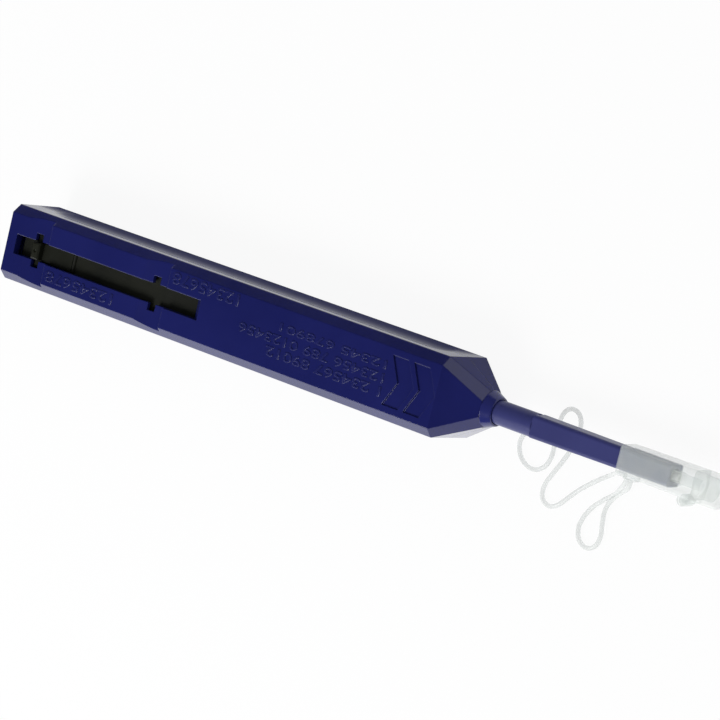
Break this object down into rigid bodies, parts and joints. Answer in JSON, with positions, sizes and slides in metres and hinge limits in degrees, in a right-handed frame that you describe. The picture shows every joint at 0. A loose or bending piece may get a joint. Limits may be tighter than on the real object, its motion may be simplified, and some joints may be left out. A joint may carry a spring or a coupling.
{
  "type": "fibre connector cleaning pen",
  "caption": "Push-to-clean pen for fibre connectors: eight-sided barrel with a sliding carriage, slim nozzle that winds a strand when pushed, and a tethered clear guide cap with a flip lid.",
  "frame": {"origin": "middle of the pen's length and width on the back face that it lies on, without the loose tether", "axes": "+X from the rear end towards the nozzle's tip, +Z out of the face with the slot, +Y to the left when looking along +X"},
  "size_m": [0.2102, 0.0338, 0.0186],
  "materials": {
    "blue_plastic": "moulded, semi gloss",
    "black_plastic": "moulded, satin",
    "inner_plastic": "natural acetal",
    "clear_plastic": "translucent, slightly cloudy",
    "clear_line": "clear soft line",
    "steel": "bright",
    "strand": "microfibre strand"
  },
  "bodies": {
    "housing": {"slot_shell": "blue_plastic", "back_shell": "blue_plastic", "nose_ring": "blue_plastic"},
    "carriage": {"carriage_frame": "black_plastic", "carriage_cover": "black_plastic", "supply_axle": "steel", "takeup_axle": "steel", "drag_washer": "steel", "ratchet_pawl": "steel", "return_spring": "steel"},
    "latch": {"latch_arm": "black_plastic"},
    "supply_reel": {"supply_spool": "inner_plastic", "supply_strand": "strand"},
    "takeup_reel": {"takeup_spool": "inner_plastic", "takeup_strand": "strand"},
    "gear": {"drive_gear": "inner_plastic"},
    "nozzle": {"nozzle_slider": "inner_plastic", "nozzle_sleeve": "blue_plastic", "tip_shaft": "inner_plastic", "tip_spring": "steel", "tether_cord": "clear_line"},
    "tip": {"cleaning_tip": "inner_plastic", "cleaning_strand": "strand"},
    "cap": {"guide_cap": "clear_plastic", "tail_loop": "clear_line"},
    "lid": {"cap_lid": "clear_plastic"}
  },
  "joints": [
    {"name": "extension_slide", "type": "slide", "parent": "housing", "child": "carriage", "axis": [1, 0, 0], "range_m": [0, 0.04]},
    {"name": "latch_press", "type": "hinge", "parent": "carriage", "child": "latch", "pos_m": [-0.0837, 0, 0.0158], "axis": [0, -1, 0], "range_deg": [0, 7], "stiffness_Nm_per_rad": 0.1, "springref_deg": -2.86},
    {"name": "nozzle_push", "type": "slide", "parent": "carriage", "child": "nozzle", "axis": [-1, 0, 0], "range_m": [0, 0.007], "stiffness_N_per_m": 700, "springref_m": -0.003, "deforming": ["return_spring"]},
    {"name": "gear_turn", "type": "hinge", "parent": "carriage", "child": "gear", "pos_m": [-0.0571, 0, 0.004], "axis": [0, 0, 1], "range_deg": [-95, 0]},
    {"name": "takeup_turn", "type": "hinge", "parent": "carriage", "child": "takeup_reel", "pos_m": [-0.0571, 0, 0.008], "axis": [0, 0, 1], "continuous": true},
    {"name": "supply_turn", "type": "hinge", "parent": "carriage", "child": "supply_reel", "pos_m": [-0.0741, 0, 0.008], "axis": [0, 0, 1], "continuous": true},
    {"name": "tip_press", "type": "slide", "parent": "nozzle", "child": "tip", "axis": [-1, 0, 0], "range_m": [0, 0.0012], "stiffness_N_per_m": 300, "springref_m": -0.002, "deforming": ["tip_spring"]},
    {"name": "cap_pull", "type": "slide", "parent": "nozzle", "child": "cap", "axis": [1, 0, 0], "range_m": [0, 0.016]},
    {"name": "lid_flip", "type": "hinge", "parent": "cap", "child": "lid", "pos_m": [0.0959, -0.0041, 0.0092], "axis": [0, 0, -1], "range_deg": [0, 120]}
  ],
  "couplings": [
    {"joint": "gear_turn", "follows": "nozzle_push", "rad_per_m": -222.22},
    {"joint": "takeup_turn", "follows": "nozzle_push", "rad_per_m": -222.22},
    {"joint": "supply_turn", "follows": "nozzle_push", "rad_per_m": -138.61}
  ]
}
